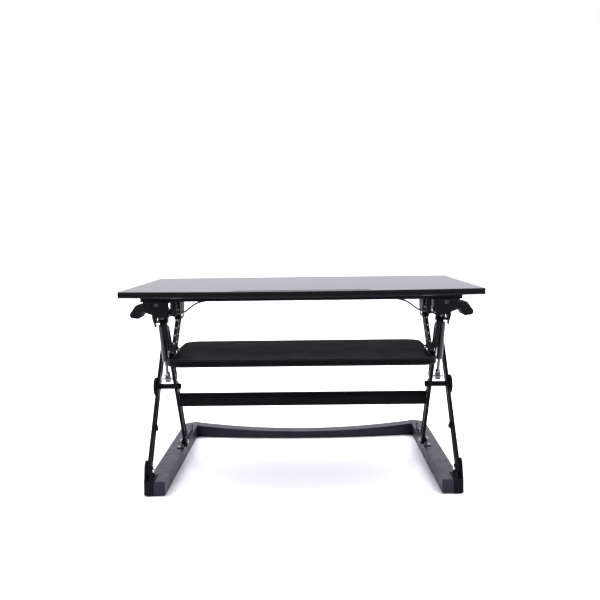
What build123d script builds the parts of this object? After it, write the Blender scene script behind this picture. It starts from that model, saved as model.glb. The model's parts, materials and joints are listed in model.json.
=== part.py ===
"""Standing desk converter, fully raised.

A bowed desktop rides on two scissor pairs. Each outer link hinges on the front of a U-shaped
base and slides under the back of the desktop; each inner link hinges under the front of the
desktop and slides on the base. A keyboard tray hangs from the desktop on short parallel links.
Millimetres, +X to the user's right, +Y away from the user, +Z up. The origin is on the
supporting surface, under the middle of the outline.
"""
import os
from math import asin, atan2, cos, degrees, hypot, radians, sin, tan

from build123d import *

os.makedirs("parts", exist_ok=True)

SIDES = (("left", -1), ("right", 1))

# ---------------------------------------------------------------- driving dimensions
overall_depth = 710.0
lift_travel = 350.0

# Desktop panel
desk_width = 892.0
desk_depth = 590.0
desk_thickness = 16.0
desk_top_z = 500.0
desk_bow = 36.0
desk_setback = 85.0
slot_length = 330.0
slot_width = 13.0
slot_depth = 8.0
slot_setback = 12.0
slot_liner = 1.5

# Scissor links, as pivot heights in the raised position
link_length = 466.0
link_width = 30.0
base_pivot_z = 54.0
top_pivot_z = 421.0
pivot_setback = 24.0
inner_link_near, inner_link_far = 329.0, 337.0
outer_link_near, outer_link_far = 376.0, 384.0
link_pocket_depth = 2.0
link_pocket_width = 17.0
collar_at = 0.25

# Base
rail_near, rail_far = 337.0, 389.0
rail_top_far = 382.5
rail_top_z = 36.0
rail_wall = 2.5
foot_height = 3.0
base_corner = 42.0
member_depth = 52.0
member_bow = 28.0
member_sag = 15.0
block_near = 365.0
block_length = 61.0
cheek_z = 81.0
inner_cheek_z = 66.0

# Sliding ends
guide_near, guide_far = 341.0, 344.0
track_near, track_far = 366.0, 369.0
slot_height = 10.0
block_half = 8.0
track_drop = 13.0
guide_top_z = 62.0
slot_end = 7.0
guide_flange = 16.0
track_flange = 18.0

# Middle pivot
pivot_shank = 5.0
sleeve_radius = 7.0
disc_radius = 24.0
disc_far = 391.0
disc_dish_depth = 1.5
disc_rim = 7.0

# Crossbar between the inner links
crossbar_offset = 54.0
crossbar_height = 34.0
crossbar_flange = 15.0
crossbar_sheet = 2.5

# Gas springs
spring_x = 351.5
spring_pin_rise = 29.0
spring_radius = 8.0
spring_wall = 2.0
spring_rod_radius = 4.0
spring_gland_at = 60.0
spring_gland = 7.0
spring_stud = 26.0
spring_piston = 8.0
spring_eye_back = 19.0
spring_eye_up = 26.7
spring_eye_radius = 8.5
spring_eye_half = 5.0
fork_half = 6.5
fork_start, fork_end = 4.0, 17.0
spring_float = 3.8
eye_pin_radius = 3.5

# Frame under the desktop
frame_height = 9.0
frame_sheet = 2.0
front_rail_depth = 30.0
rear_rail_setback = 60.0
frame_far = 389.0
side_rail_near = 369.5

# Handle bracket and paddle
bracket_sheet = 3.0
bracket_near, bracket_far = 320.0, 382.0
bracket_depth = 82.0
plate_near, plate_far = 343.0, 357.0
plate_half = 11.0
wall_setback = 12.0
ear_gap = 8.0
paddle_length = 63.0
paddle_pivot_x = 371.0
paddle_pivot_z = 459.0
paddle_pin_radius = 3.0

# Keyboard tray and its hanging links
tray_width = 635.0
tray_depth = 339.0
tray_thickness = 17.0
tray_top_z = 345.0
tray_corner = 40.0
hanger_near, hanger_far = 302.0, 310.0
hanger_sheet = 1.8
hanger_top_z = 440.0
hanger_setback = 45.0
hanger_run = 83.0
hanger_pivot_above_tray = 12.0
hanger_spacing = 34.0
hanger_width = 12.0
hanger_pin_radius = 3.5
hanger_hole = 2.4
hanger_hole_pitch = 24.0
ear_sheet = 3.0

# Release cable
cable_radius = 2.2
clip_x = 308.5
clip_width = 12.0
clip_drop = 36.0

# Clearances
running_fit = 0.05
face_gap = 0.3
slide_gap = 0.15

# ---------------------------------------------------------------- stations worked out from them
front_y = -overall_depth / 2
desk_front_y = front_y + desk_setback
desk_back_y = desk_front_y + desk_depth
desk_bottom_z = desk_top_z - desk_thickness
frame_z = desk_bottom_z - frame_height
pivot_y = desk_front_y + pivot_setback
base_front_y = pivot_y - 29.0
base_back_y = overall_depth / 2

link_rise = top_pivot_z - base_pivot_z
link_angle = asin(link_rise / link_length)
link_run = link_length * cos(link_angle)
low_angle = asin((link_rise - lift_travel) / link_length)
low_run = link_length * cos(low_angle)
slide_y = pivot_y + link_run
low_slide_y = pivot_y + low_run
middle_y = pivot_y + link_run / 2
middle_z = (base_pivot_z + top_pivot_z) / 2

along_inner = (-cos(link_angle), sin(link_angle))
spring_pin_y = middle_y + spring_pin_rise * along_inner[0]
spring_pin_z = middle_z + spring_pin_rise * along_inner[1]
spring_eye_y = pivot_y + spring_eye_back
spring_eye_z = top_pivot_z + spring_eye_up
spring_length = hypot(spring_eye_y - spring_pin_y, spring_eye_z - spring_pin_z)
spring_dir = (
    (spring_eye_y - spring_pin_y) / spring_length,
    (spring_eye_z - spring_pin_z) / spring_length,
)

hanger_y = desk_front_y + hanger_setback
tray_pivot_z = tray_top_z + hanger_pivot_above_tray
hanger_drop = hanger_top_z - tray_pivot_z
hanger_length = hypot(hanger_run, hanger_drop)
hanger_angle = atan2(hanger_drop, hanger_run)
tray_pivot_y = hanger_y - hanger_run


# ---------------------------------------------------------------- helpers
def save(builder, label):
    """Label a finished piece and write it as one STEP file."""
    builder.part.label = label
    export_step(builder.part, f"parts/{label}.step")


def side_plane(side, near, far):
    """Plane at the low-X face of a plate between two distances from the middle; x is Y, y is Z."""
    return Plane(origin=(min(side * near, side * far), 0, 0), x_dir=(0, 1, 0), z_dir=(1, 0, 0))


def link_plane(side, near, far, y, z, direction):
    """Plane of a bar that starts at (y, z) and runs along direction, at its low-X face."""
    return Plane(
        origin=(min(side * near, side * far), y, z),
        x_dir=(0, direction[0], direction[1]),
        z_dir=(1, 0, 0),
    )


def spring_plane(side, distance):
    """Plane square to the gas spring, at a distance from its lower pin."""
    return Plane(
        origin=(
            side * spring_x,
            spring_pin_y + distance * spring_dir[0],
            spring_pin_z + distance * spring_dir[1],
        ),
        x_dir=(1, 0, 0),
        z_dir=(0, spring_dir[0], spring_dir[1]),
    )


def turned_pins(places, sections):
    """Stepped pins along X: places are (side, y, z), sections are (near, far, radius)."""
    with BuildPart() as pins:
        for side, y, z in places:
            for near, far, radius in sections:
                with BuildSketch(side_plane(side, near, far)):
                    with Locations((y, z)):
                        Circle(radius)
                extrude(amount=far - near)
    return pins


# ---------------------------------------------------------------- base
def make_rail(side):
    """Pressed side rail, open underneath, notched at the front for the foot block."""
    with BuildPart() as rail:
        with BuildSketch(Plane.XZ.offset(-base_back_y)):
            with BuildLine():
                Polyline(
                    (side * rail_near, foot_height),
                    (side * rail_near, rail_top_z),
                    (side * rail_top_far, rail_top_z),
                    (side * rail_far, foot_height),
                    close=True,
                )
            make_face()
        extrude(amount=base_back_y - base_front_y - 2)
        rear_edges = rail.edges().filter_by(lambda e: abs(e.center().Y - base_back_y) < 0.01)
        corner = rear_edges.sort_by(lambda e: side * e.center().X)[-1]
        fillet(corner, base_corner)
        with BuildSketch(Plane.XZ.offset(-(base_back_y - base_corner - rail_wall))):
            with BuildLine():
                Polyline(
                    (side * (rail_near + rail_wall), foot_height),
                    (side * (rail_near + rail_wall), rail_top_z - rail_wall),
                    (side * (rail_top_far - rail_wall), rail_top_z - rail_wall),
                    (side * (rail_far - rail_wall), foot_height),
                    close=True,
                )
            make_face()
        hollow = base_back_y - base_corner - rail_wall - base_front_y - block_length - rail_wall
        extrude(amount=hollow, mode=Mode.SUBTRACT)
        with BuildSketch(Plane.XY):
            with Locations((side * (block_near + rail_far + 10) / 2, base_front_y + block_length / 2)):
                Rectangle(rail_far + 10 - block_near, block_length)
        extrude(amount=rail_top_z + 1, mode=Mode.SUBTRACT)
        top_face = rail.faces().filter_by(Axis.Z).sort_by(Axis.Z)[-1]
        fillet(top_face.edges().filter_by(Axis.Y), 1.5)
    return rail


def make_rear_member():
    """Rear cross-member: bowed towards the user in plan and dished along its top."""
    front = base_back_y - member_depth
    back = base_back_y - 6
    with BuildPart() as member:
        with BuildSketch(Plane.XY.offset(foot_height)):
            with BuildLine():
                ThreePointArc((-rail_near, front), (0, front - member_bow), (rail_near, front))
                Line((rail_near, front), (rail_near, back))
                ThreePointArc((rail_near, back), (0, back - member_bow), (-rail_near, back))
                Line((-rail_near, back), (-rail_near, front))
            make_face()
        extrude(amount=rail_top_z - foot_height)
        with BuildSketch(Plane.XZ.offset(-base_back_y)):
            with BuildLine():
                ThreePointArc(
                    (-rail_near, rail_top_z),
                    (0, rail_top_z - member_sag),
                    (rail_near, rail_top_z),
                )
                Line((rail_near, rail_top_z), (rail_near, foot_height))
                Line((rail_near, foot_height), (-rail_near, foot_height))
                Line((-rail_near, foot_height), (-rail_near, rail_top_z))
            make_face()
        extrude(amount=member_depth + member_bow + 20, mode=Mode.INTERSECT)
        # Underside relief leaves a sheet-like skin.
        with BuildSketch(Plane.XY.offset(foot_height)):
            with BuildLine():
                inset = rail_wall + 1
                end = rail_near - 12
                ThreePointArc((-end, front + inset), (0, front - member_bow + inset), (end, front + inset))
                Line((end, front + inset), (end, back - inset))
                ThreePointArc((end, back - inset), (0, back - member_bow - inset), (-end, back - inset))
                Line((-end, back - inset), (-end, front + inset))
            make_face()
        extrude(amount=rail_top_z - foot_height - member_sag - rail_wall, mode=Mode.SUBTRACT)
    return member


def make_foot_block(side):
    """Cast block at the front of a rail; two cheeks hold the outer link's foot."""
    floor_z = base_pivot_z - link_width / 2 - 2
    block_back_y = base_front_y + block_length
    cheeks = (
        (outer_link_near - face_gap - 4, outer_link_near - face_gap, inner_cheek_z, 13.0),
        (outer_link_far + face_gap, rail_far, cheek_z, 18.0),
    )
    with BuildPart() as block:
        with BuildSketch(side_plane(side, block_near, rail_far)):
            with Locations(((base_front_y + block_back_y) / 2, floor_z / 2 + foot_height / 2)):
                Rectangle(block_length, floor_z - foot_height)
        extrude(amount=rail_far - block_near)
        fillet(block.edges().filter_by(Axis.Z).group_by(Axis.Y)[0], 4)
        for near, far, top, half in cheeks:
            with BuildSketch(side_plane(side, near, far)):
                with BuildLine():
                    Polyline(
                        (block_back_y - 2, floor_z - 1),
                        (pivot_y + half, top - half),
                    )
                    ThreePointArc(
                        (pivot_y + half, top - half),
                        (pivot_y, top),
                        (pivot_y - half, top - half),
                    )
                    Polyline(
                        (pivot_y - half, top - half),
                        (base_front_y + 5, floor_z - 1),
                        (block_back_y - 2, floor_z - 1),
                    )
                make_face()
            extrude(amount=far - near)
        with BuildSketch(side_plane(side, block_near, rail_far + 5)):
            with Locations((pivot_y, base_pivot_z)):
                Circle(4 + running_fit)
        extrude(amount=rail_far + 5 - block_near, mode=Mode.SUBTRACT)
    return block


def make_slide_guide(side):
    """Slotted upright on the rail that guides the inner link's lower end."""
    front = slide_y - block_half - slot_end
    back = low_slide_y + block_half + slot_end
    with BuildPart() as guide:
        with BuildSketch(side_plane(side, guide_near, guide_far)):
            with Locations(((front + back) / 2, (rail_top_z + guide_top_z) / 2)):
                RectangleRounded(back - front, guide_top_z - rail_top_z, 2)
        extrude(amount=guide_far - guide_near)
        with BuildSketch(Plane.XY.offset(rail_top_z)):
            middle = side * (guide_near + guide_flange / 2)
            with Locations((middle, (front + back) / 2)):
                Rectangle(guide_flange, back - front - 8)
        extrude(amount=2.5)
        with BuildSketch(side_plane(side, guide_near - 1, guide_far + 1)):
            with Locations(((slide_y + low_slide_y) / 2, base_pivot_z)):
                Rectangle(low_slide_y - slide_y + 2 * block_half + 2, slot_height)
        extrude(amount=guide_far - guide_near + 2, mode=Mode.SUBTRACT)
    return guide


def guide_screw_places():
    """Where the slide guides are screwed to the rails: (x, y)."""
    step = (low_slide_y - slide_y) / 2
    return [
        (side * (guide_far + 7), slide_y + row * step)
        for _, side in SIDES
        for row in range(3)
    ]


def make_guide_screws():
    """Low round heads on the guides' flanges."""
    with BuildPart() as screws:
        with BuildSketch(Plane.XY.offset(rail_top_z + 2.5)):
            with Locations(*guide_screw_places()):
                Circle(4)
        extrude(amount=1.8)
        fillet(screws.faces().filter_by(Axis.Z).group_by(Axis.Z)[-1].edges(), 1.2)
        with BuildSketch(Plane.XY.offset(rail_top_z + 3)):
            with Locations(*guide_screw_places()):
                RegularPolygon(1.6, 6)
        extrude(amount=2, mode=Mode.SUBTRACT)
    return screws


def make_feet():
    """Rubber strips under the rails and the middle of the rear member."""
    pad_y = (base_front_y + 45, 0.0, base_back_y - base_corner - 20)
    pads = [(side * (rail_near + rail_far) / 2, y) for _, side in SIDES for y in pad_y]
    with BuildPart() as feet:
        with BuildSketch(Plane.XY):
            with Locations(*pads):
                RectangleRounded(rail_far - rail_near - 6, 40, 5)
        extrude(amount=foot_height)
    return feet


# ---------------------------------------------------------------- scissor links
def link_bar(side, near, far, start, direction, bores, pocket_face, fold):
    """Flat bar with round ends, bored at its pivots, with a shallow pressed channel."""
    plane = link_plane(side, near, far, start[0], start[1], direction)
    thickness = far - near
    with BuildPart() as bar:
        with BuildSketch(plane):
            with Locations((link_length / 2, 0)):
                SlotCenterToCenter(link_length, link_width)
        extrude(amount=thickness)
        chamfer(bar.faces().filter_by(Axis.X).edges(), 0.8)
        for face in pocket_face:
            depth_plane = plane.offset(thickness - link_pocket_depth if face > 0 else 0)
            with BuildSketch(depth_plane):
                for begin, end in fold:
                    with Locations(((begin + end) / 2, 0)):
                        SlotOverall(end - begin, link_pocket_width)
            extrude(amount=link_pocket_depth, mode=Mode.SUBTRACT)
        for distance, radius in bores:
            with BuildSketch(plane):
                with Locations((distance, 0)):
                    Circle(radius)
            extrude(amount=thickness, mode=Mode.SUBTRACT)
    return bar


def make_outer_link(side):
    """From the foot block up to the slide under the back of the desktop."""
    bores = (
        (0, 4 + running_fit),
        (link_length / 2, pivot_shank + running_fit),
        (link_length, 3 + running_fit),
    )
    fold = ((26, link_length / 2 - 30), (link_length / 2 + 30, link_length - 26))
    direction = (cos(link_angle), sin(link_angle))
    return link_bar(
        side, outer_link_near, outer_link_far, (pivot_y, base_pivot_z), direction, bores, (-side,), fold
    )


def make_inner_link(side):
    """From the slide on the base up to the front pivot under the desktop."""
    bores = (
        (0, 3 + running_fit),
        (link_length / 2, pivot_shank + running_fit),
        (link_length / 2 + spring_pin_rise, 4 + running_fit),
        (link_length, pivot_shank + running_fit),
    )
    fold = ((26, link_length / 2 - 22), (link_length / 2 + spring_pin_rise + 22, link_length - 26))
    return link_bar(
        side, inner_link_near, inner_link_far, (slide_y, base_pivot_z), along_inner, bores, (-side,), fold
    )


def make_pivot_disc(side):
    """Dished boss on the outer face of the outer link."""
    with BuildPart() as disc:
        with BuildSketch(side_plane(side, outer_link_far, disc_far)):
            with Locations((middle_y, middle_z)):
                Circle(disc_radius)
        extrude(amount=disc_far - outer_link_far)
        outer = disc.faces().filter_by(Axis.X).sort_by(lambda f: side * f.center().X)[-1]
        fillet(outer.edges(), 3)
        with BuildSketch(side_plane(side, disc_far - disc_dish_depth, disc_far)):
            with Locations((middle_y, middle_z)):
                Circle(disc_radius - disc_rim)
        extrude(amount=disc_dish_depth, mode=Mode.SUBTRACT)
        with BuildSketch(side_plane(side, outer_link_far, disc_far)):
            with Locations((middle_y, middle_z)):
                Circle(pivot_shank + running_fit)
        extrude(amount=disc_far - outer_link_far, mode=Mode.SUBTRACT)
    return disc


def make_link_collar(side):
    """Small cable clip on the inner face of the outer link's lower half."""
    direction = (cos(link_angle), sin(link_angle))
    plane = link_plane(side, outer_link_near - 5, outer_link_near, pivot_y, base_pivot_z, direction)
    with BuildPart() as collar:
        with BuildSketch(plane):
            with Locations((link_length * collar_at, 0)):
                RectangleRounded(9, link_width - 6, 2)
        extrude(amount=5)
    return collar


def make_slide_block(side, plate_near, plate_far, y, z, flange_near, flange_far):
    """Nylon block that runs in a slot, with a flange against the link."""
    with BuildPart() as block:
        with BuildSketch(side_plane(side, plate_near - 0.4, plate_far + 0.4)):
            with Locations((y, z)):
                Rectangle(2 * block_half, slot_height - 2 * slide_gap)
        extrude(amount=plate_far - plate_near + 0.8)
        with BuildSketch(side_plane(side, flange_near, flange_far)):
            with Locations((y, z)):
                RectangleRounded(2 * block_half + 3, slot_height + 6, 2)
        extrude(amount=flange_far - flange_near)
        with BuildSketch(side_plane(side, plate_near - 8, plate_far + 8)):
            with Locations((y, z)):
                Circle(3 + running_fit)
        extrude(amount=plate_far - plate_near + 16, mode=Mode.SUBTRACT)
    return block


def make_crossbar():
    """Formed channel between the inner links, its upper part folded back."""
    y = middle_y - crossbar_offset * along_inner[0] - crossbar_flange / 2
    z = middle_z - crossbar_offset * along_inner[1] - crossbar_height / 2
    lean = 4.0
    crease = crossbar_height * 0.64
    outline = (
        (y + crossbar_flange, z),
        (y, z),
        (y, z + crease),
        (y + lean, z + crossbar_height),
        (y + crossbar_flange, z + crossbar_height),
    )
    with BuildPart() as bar:
        with BuildSketch(side_plane(1, -inner_link_near, inner_link_near)):
            with BuildLine():
                Polyline(*outline)
                offset(amount=crossbar_sheet, side=Side.RIGHT)
            make_face()
        extrude(amount=2 * inner_link_near)
    return bar


# ---------------------------------------------------------------- gas springs
def make_spring_cylinder(side):
    """Cylinder over the rod: bored gland below, hollow for the piston, stud and pinned eye above."""
    top = spring_length - spring_stud
    pin_length = plate_far - plate_near + bracket_sheet + 1.2
    with BuildPart() as cylinder:
        with BuildSketch(spring_plane(side, spring_gland_at)):
            Circle(spring_radius)
        extrude(amount=top - spring_gland_at)
        fillet(cylinder.edges().filter_by(GeomType.CIRCLE), 1.5)
        with BuildSketch(spring_plane(side, spring_gland_at + spring_gland)):
            Circle(spring_radius - spring_wall)
        extrude(amount=top - spring_gland_at - spring_gland - 5, mode=Mode.SUBTRACT)
        with BuildSketch(spring_plane(side, spring_gland_at)):
            Circle(spring_rod_radius + running_fit)
        extrude(amount=spring_gland + 1, mode=Mode.SUBTRACT)
        with BuildSketch(spring_plane(side, top)):
            Circle(spring_rod_radius)
        extrude(amount=spring_stud)
        with BuildSketch(side_plane(side, spring_x - spring_eye_half, spring_x + spring_eye_half)):
            with Locations((spring_eye_y, spring_eye_z)):
                Circle(spring_eye_radius)
        extrude(amount=2 * spring_eye_half)
        with BuildSketch(side_plane(side, plate_near - 0.6, plate_near - 0.6 + pin_length)):
            with Locations((spring_eye_y, spring_eye_z)):
                Circle(eye_pin_radius)
        extrude(amount=pin_length)
    return cylinder


def make_spring_rod(side):
    """Rod that stands in the fork, with its piston just above the gland."""
    piston_start = spring_gland_at + spring_gland + 0.5
    with BuildPart() as rod:
        with BuildSketch(spring_plane(side, fork_end)):
            Circle(spring_rod_radius)
        extrude(amount=piston_start + spring_piston - fork_end)
        with BuildSketch(spring_plane(side, piston_start)):
            Circle(spring_radius - spring_wall - running_fit)
        extrude(amount=spring_piston)
    return rod


def make_spring_forks():
    """Forks screwed on to the rods; they straddle the lower pins."""
    with BuildPart() as forks:
        for _, side in SIDES:
            with BuildSketch(side_plane(side, spring_x - fork_half, spring_x + fork_half)):
                with Locations((spring_pin_y, spring_pin_z)):
                    Circle(spring_eye_radius)
            extrude(amount=2 * fork_half)
            with BuildSketch(spring_plane(side, fork_start)):
                RectangleRounded(2 * fork_half, 2 * fork_half, 2)
            extrude(amount=fork_end - fork_start)
            with BuildSketch(side_plane(side, spring_x - fork_half, spring_x + fork_half)):
                with Locations((spring_pin_y, spring_pin_z)):
                    Circle(4 + running_fit)
            extrude(amount=2 * fork_half, mode=Mode.SUBTRACT)
    return forks


# ---------------------------------------------------------------- desktop
def make_desktop():
    """Bowed laminate panel with a shallow slot that holds a tablet upright."""
    half = desk_width / 2
    with BuildPart() as panel:
        with BuildSketch(Plane.XY.offset(desk_bottom_z)):
            with BuildLine():
                ThreePointArc((-half, desk_front_y), (0, desk_front_y - desk_bow), (half, desk_front_y))
                Line((half, desk_front_y), (half, desk_back_y))
                Line((half, desk_back_y), (-half, desk_back_y))
                Line((-half, desk_back_y), (-half, desk_front_y))
            make_face()
        extrude(amount=desk_thickness)
        fillet(panel.edges().filter_by(Axis.Z), 3)
        chamfer(panel.faces().sort_by(Axis.Z)[0].edges(), 1.8)
        chamfer(panel.faces().sort_by(Axis.Z)[-1].edges(), 0.6)
        with BuildSketch(Plane.XY.offset(desk_top_z)):
            with Locations((0, desk_front_y - desk_bow + slot_setback + slot_width / 2 + 6)):
                SlotOverall(slot_length, slot_width)
        extrude(amount=-slot_depth, mode=Mode.SUBTRACT)
    return panel


def make_slot_liner():
    """Soft strip on the floor of the tablet slot."""
    with BuildPart() as liner:
        with BuildSketch(Plane.XY.offset(desk_top_z - slot_depth)):
            with Locations((0, desk_front_y - desk_bow + slot_setback + slot_width / 2 + 6)):
                SlotOverall(slot_length, slot_width)
        extrude(amount=slot_liner)
    return liner


def channel_rail(width, depth, x, y):
    """Inverted U channel pressed against the panel's underside."""
    long_in_x = width > depth
    with BuildPart() as rail:
        with BuildSketch(Plane.XY.offset(frame_z)):
            with Locations((x, y)):
                Rectangle(width, depth)
        extrude(amount=frame_height)
        inner_width = width if long_in_x else width - 2 * frame_sheet
        inner_depth = depth - 2 * frame_sheet if long_in_x else depth
        with BuildSketch(Plane.XY.offset(frame_z)):
            with Locations((x, y)):
                Rectangle(inner_width, inner_depth)
        extrude(amount=frame_height - frame_sheet, mode=Mode.SUBTRACT)
    return rail


front_rail_y = desk_front_y - 5 + front_rail_depth / 2
rear_rail_y = desk_back_y - rear_rail_setback
side_rail_front_y = front_rail_y + front_rail_depth / 2
side_rail_back_y = rear_rail_y - front_rail_depth / 2
side_rail_width = frame_far - side_rail_near
side_rail_length = side_rail_back_y - side_rail_front_y


def make_slide_track(side):
    """Slotted plate that guides the outer link's upper end."""
    front = slide_y - block_half - slot_end
    back = low_slide_y + block_half + slot_end
    bottom = top_pivot_z - track_drop
    with BuildPart() as track:
        with BuildSketch(side_plane(side, track_near, track_far)):
            with Locations(((front + back) / 2, (bottom + desk_bottom_z) / 2)):
                Rectangle(back - front, desk_bottom_z - bottom)
        extrude(amount=track_far - track_near)
        lower = track.edges().filter_by(Axis.X).group_by(Axis.Z)[0]
        fillet(lower, 8)
        with BuildSketch(Plane.XY.offset(desk_bottom_z - 2.5)):
            with Locations((side * (track_near - track_flange / 2), (front + back) / 2)):
                Rectangle(track_flange, back - front - 10)
        extrude(amount=2.5)
        with BuildSketch(side_plane(side, track_near - 1, track_far + 1)):
            with Locations(((slide_y + low_slide_y) / 2, top_pivot_z)):
                Rectangle(low_slide_y - slide_y + 2 * block_half + 2, slot_height)
        extrude(amount=track_far - track_near + 2, mode=Mode.SUBTRACT)
    return track


def make_handle_bracket(side):
    """Folded bracket: front wall with a window, two plates for the pivots, a top flange."""
    wall_y = desk_front_y - wall_setback
    flange_z = frame_z - bracket_sheet
    ear_y = wall_y + bracket_sheet + paddle_length + ear_gap
    with BuildPart() as bracket:
        # Front wall, seen from the front.
        with BuildSketch(Plane.XZ.offset(-(wall_y + bracket_sheet))):
            with BuildLine():
                Polyline(
                    (side * bracket_near, frame_z),
                    (side * bracket_far, frame_z),
                    (side * (bracket_far - 5.5), frame_z - 25),
                    (side * (plate_far + bracket_sheet), frame_z - 31),
                    (side * (plate_far + bracket_sheet), frame_z - 37),
                    (side * (bracket_near + 4), frame_z - 37),
                    (side * (bracket_near + 4), frame_z - 29),
                    (side * bracket_near, frame_z - 23),
                    close=True,
                )
            make_face()
            with Locations((side * 352.5, frame_z - 7.5)):
                SlotOverall(19, 8, mode=Mode.SUBTRACT)
            with Locations((side * paddle_pivot_x, paddle_pivot_z)):
                Circle(paddle_pin_radius + running_fit, mode=Mode.SUBTRACT)
        extrude(amount=bracket_sheet)
        # Top flange under the frame.
        with BuildSketch(Plane.XY.offset(flange_z)):
            with Locations((side * (bracket_near + bracket_far) / 2, wall_y + bracket_depth / 2)):
                Rectangle(bracket_far - bracket_near, bracket_depth)
        extrude(amount=bracket_sheet)
        # Two pivot plates, tapering down to the front pivot.
        for near in (plate_near, plate_far):
            with BuildSketch(side_plane(side, near, near + bracket_sheet)):
                with BuildLine():
                    Polyline(
                        (pivot_y - plate_half, top_pivot_z),
                        (wall_y + bracket_sheet - 1, top_pivot_z + 13),
                        (wall_y + bracket_sheet - 1, flange_z + 1),
                        (spring_eye_y + 16, flange_z + 1),
                        (spring_eye_y + 13, spring_eye_z - 6),
                        (pivot_y + plate_half, top_pivot_z),
                    )
                    ThreePointArc(
                        (pivot_y + plate_half, top_pivot_z),
                        (pivot_y, top_pivot_z - plate_half),
                        (pivot_y - plate_half, top_pivot_z),
                    )
                make_face()
            extrude(amount=bracket_sheet)
        # Spacer boss towards the inner link.
        with BuildSketch(side_plane(side, inner_link_far + face_gap, plate_near)):
            with Locations((pivot_y, top_pivot_z)):
                Circle(8)
        extrude(amount=plate_near - inner_link_far - face_gap)
        # Rear ear for the paddle's pin.
        with BuildSketch(Plane.XZ.offset(-(ear_y + bracket_sheet))):
            with BuildLine():
                Polyline(
                    (side * (paddle_pivot_x - 8), flange_z + 1),
                    (side * (paddle_pivot_x + 8), flange_z + 1),
                    (side * (paddle_pivot_x + 8), paddle_pivot_z - 5),
                    (side * (paddle_pivot_x + 4), paddle_pivot_z - 9),
                    (side * (paddle_pivot_x - 4), paddle_pivot_z - 9),
                    (side * (paddle_pivot_x - 8), paddle_pivot_z - 5),
                    close=True,
                )
            make_face()
            with Locations((side * paddle_pivot_x, paddle_pivot_z)):
                Circle(paddle_pin_radius + running_fit, mode=Mode.SUBTRACT)
        extrude(amount=bracket_sheet)
        # Pivot bore and the slots in which the spring's eye pin floats.
        with BuildSketch(side_plane(side, inner_link_far, plate_far + 5)):
            with Locations((pivot_y, top_pivot_z)):
                Circle(pivot_shank + running_fit)
            drift = degrees(atan2(-spring_eye_up, -spring_eye_back))
            with Locations(
                Location(
                    (
                        spring_eye_y + spring_float / 2 * cos(radians(drift)),
                        spring_eye_z + spring_float / 2 * sin(radians(drift)),
                    ),
                    drift,
                )
            ):
                SlotCenterToCenter(spring_float, 2 * (eye_pin_radius + 0.45))
        extrude(amount=plate_far + 5 - inner_link_far, mode=Mode.SUBTRACT)
    return bracket


def make_paddle(side):
    """Squeeze paddle beside the bracket; its blade slopes down and outwards."""
    front = desk_front_y - wall_setback + bracket_sheet + face_gap
    with BuildPart() as paddle:
        with BuildSketch(Plane.XZ.offset(-(front + paddle_length - 2 * face_gap))) as outline:
            with BuildLine():
                Polyline(
                    (side * (paddle_pivot_x - 7), paddle_pivot_z - 7),
                    (side * (paddle_pivot_x - 7), paddle_pivot_z + 6),
                    (side * (paddle_pivot_x - 3), paddle_pivot_z + 9),
                    (side * (paddle_pivot_x + 29), paddle_pivot_z + 9),
                    (side * (paddle_pivot_x + 44), paddle_pivot_z - 12.5),
                    (side * (paddle_pivot_x + 43), paddle_pivot_z - 19),
                    (side * (paddle_pivot_x + 39), paddle_pivot_z - 22.5),
                    (side * (paddle_pivot_x + 21.5), paddle_pivot_z - 24.5),
                    (side * (paddle_pivot_x + 13.5), paddle_pivot_z - 10),
                    (side * (paddle_pivot_x + 9), paddle_pivot_z - 7),
                    close=True,
                )
            make_face()
            fillet(outline.vertices(), 3)
        extrude(amount=paddle_length - 2 * face_gap)
        fillet(paddle.faces().filter_by(Axis.Y).edges(), 1.5)
        with BuildSketch(Plane.XZ.offset(-(front + paddle_length))):
            with Locations((side * paddle_pivot_x, paddle_pivot_z)):
                Circle(paddle_pin_radius + running_fit)
        extrude(amount=paddle_length + 2, mode=Mode.SUBTRACT)
    return paddle


def make_paddle_pins():
    """Headed pins on which the paddles turn."""
    front = desk_front_y - wall_setback
    length = bracket_sheet + paddle_length + ear_gap + bracket_sheet
    with BuildPart() as pins:
        for _, side in SIDES:
            for start, depth, radius in ((front - 2, 2, 5), (front, length, 3), (front + length, 1.5, 4.5)):
                with BuildSketch(Plane.XZ.offset(-(start + depth))):
                    with Locations((side * paddle_pivot_x, paddle_pivot_z)):
                        Circle(radius)
                extrude(amount=depth)
    return pins


def make_paddle_springs():
    """Coil springs on the paddle pins, between each paddle and the rear ear."""
    start = desk_front_y - wall_setback + bracket_sheet + paddle_length + 1
    wire = 0.7
    coil = paddle_pin_radius + 1.0 + wire
    with BuildPart() as springs:
        for _, side in SIDES:
            seat = (side * paddle_pivot_x, start, paddle_pivot_z)
            with BuildLine():
                path = Helix(pitch=2.0, height=5.0, radius=coil, center=seat, direction=(0, 1, 0))
            with BuildSketch(Plane(origin=path @ 0, z_dir=path % 0)):
                Circle(wire)
            sweep(path=path, is_frenet=True)
    return springs


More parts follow.
